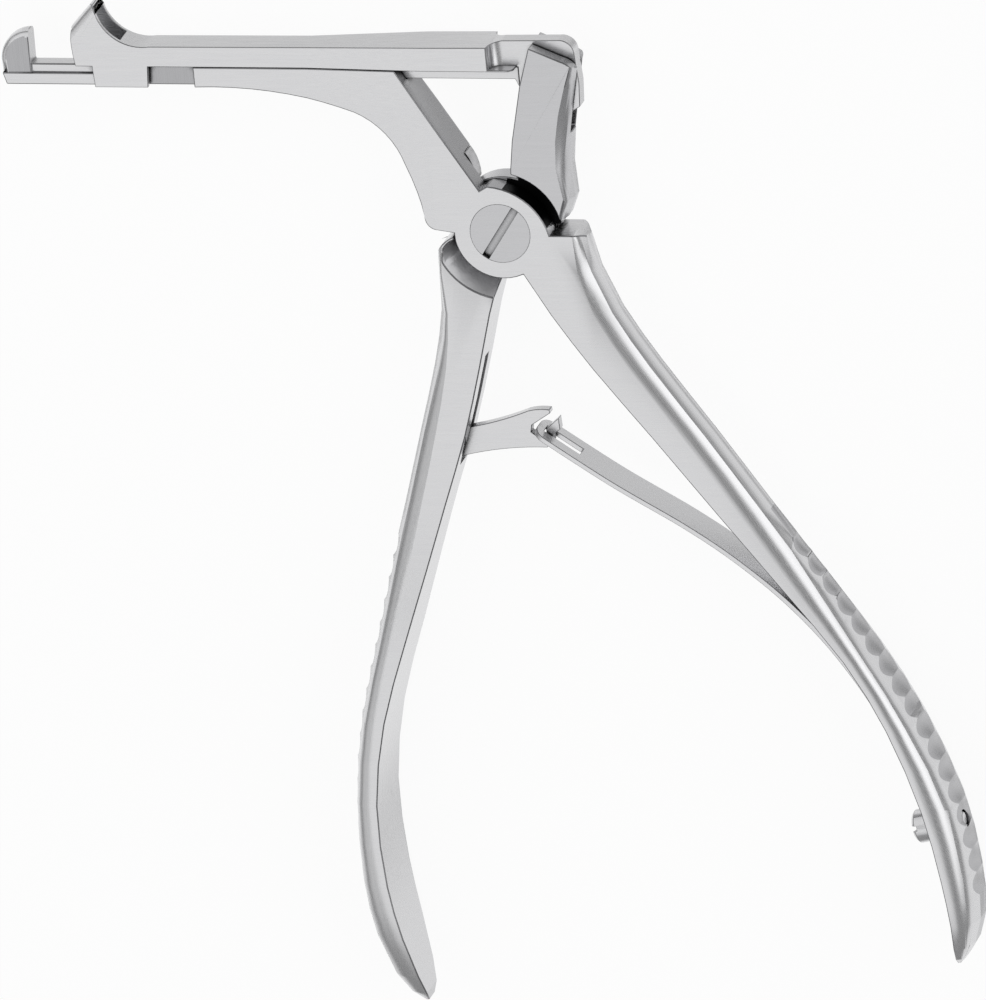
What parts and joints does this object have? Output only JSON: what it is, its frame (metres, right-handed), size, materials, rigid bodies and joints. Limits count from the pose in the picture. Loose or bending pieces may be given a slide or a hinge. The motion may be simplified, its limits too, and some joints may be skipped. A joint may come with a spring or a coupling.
{
  "type": "bone punch",
  "caption": "Sliding-shaft bone punch: squeezing two sprung handles drives a cutter along a rail onto a footed anvil, by a forked lever and hooked tail.",
  "frame": {"origin": "centre of the bounding box's footprint, at the height of its lowest point, with the instrument lying on its far side", "axes": "+X from the foot along the shaft towards the lever, +Y from the grips up to the shaft, +Z through the thickness, towards the screw head side"},
  "size_m": [0.1288, 0.1468, 0.0116],
  "materials": {
    "forged_steel": "fine satin brushing",
    "fastener_steel": "turned and satin",
    "spring_steel": "smooth satin strip"
  },
  "bodies": {
    "frame": {"fixed_frame": "forged_steel", "pivot_screw": "fastener_steel", "leaf_screw": "fastener_steel"},
    "front_handle": {"moving_handle": "forged_steel", "drive_pin": "fastener_steel", "link_pin": "fastener_steel"},
    "slider": {"punch_slider": "forged_steel"},
    "link": {"spring_link": "spring_steel"},
    "leaf": {"leaf_spring": "spring_steel"}
  },
  "joints": [
    {"name": "handle_pivot", "type": "hinge", "parent": "frame", "child": "front_handle", "pos_m": [0.00532, 0.04095, 0.0058], "axis": [0, 0, 1], "range_deg": [0, 17.4], "stiffness_Nm_per_rad": 2.5, "springref_deg": -5.73},
    {"name": "slider_slide", "type": "slide", "parent": "frame", "child": "slider", "axis": [-1, 0, 0], "range_m": [0, 0.0063]},
    {"name": "link_fold", "type": "hinge", "parent": "front_handle", "child": "link", "pos_m": [-0.00468, 0.00935, 0.0058], "axis": [0, 0, 1], "range_deg": [0, 28.4]},
    {"name": "leaf_flex", "type": "hinge", "parent": "frame", "child": "leaf", "pos_m": [0.04372, -0.01565, 0.0058], "axis": [0, 0, 1], "range_deg": [-12, 0], "deforming": ["leaf_spring"]}
  ],
  "couplings": [
    {"joint": "slider_slide", "follows": "handle_pivot", "m_per_rad": 0.02074},
    {"joint": "link_fold", "follows": "handle_pivot", "ratio": 1.63},
    {"joint": "leaf_flex", "follows": "handle_pivot", "ratio": -0.685}
  ]
}
